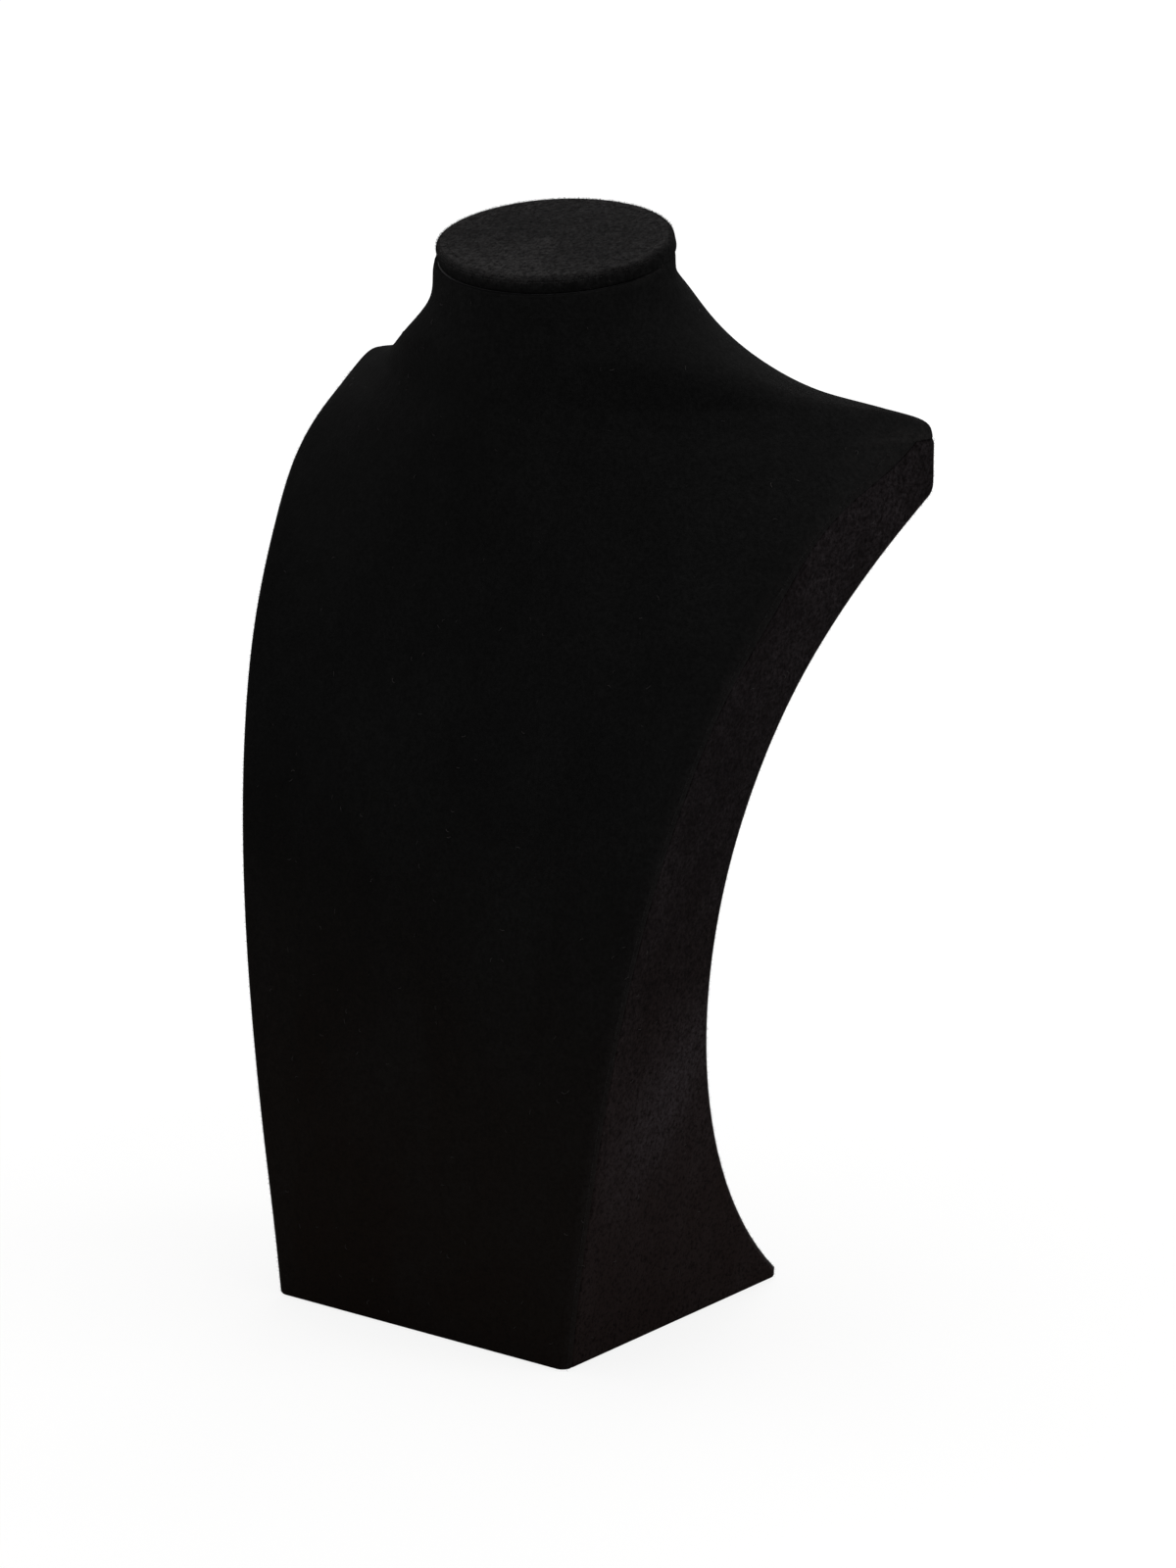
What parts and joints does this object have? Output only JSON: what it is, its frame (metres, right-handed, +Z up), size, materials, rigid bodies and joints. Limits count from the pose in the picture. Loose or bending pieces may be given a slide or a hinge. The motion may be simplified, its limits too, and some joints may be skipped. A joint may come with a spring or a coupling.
{
  "type": "necklace display bust",
  "caption": "Free-standing velvet display bust with a flat leaning front, sloping shoulders, a short neck with a tilted oval top and a hollow back.",
  "frame": {"origin": "on the table under the middle of the bust, half-way across its width and its depth", "axes": "+Z up, the flat front looks along -Y and the hollow back along +Y, the width runs along X"},
  "size_m": [0.255, 0.1318, 0.3924],
  "materials": {
    "moulded_shell": "unpainted moulding, covered",
    "hardboard": "raw fibreboard, covered",
    "black_velvet": "matt short-pile velvet",
    "black_felt": "pressed felt"
  },
  "bodies": {
    "root": {"body_shell": "moulded_shell", "back_panel": "hardboard", "base_board": "hardboard", "neck_disc": "hardboard", "base_felt": "black_felt", "neck_disc_velvet": "black_velvet", "front_velvet": "black_velvet", "back_velvet": "black_velvet", "left_side_velvet": "black_velvet", "right_side_velvet": "black_velvet"}
  },
  "joints": []
}
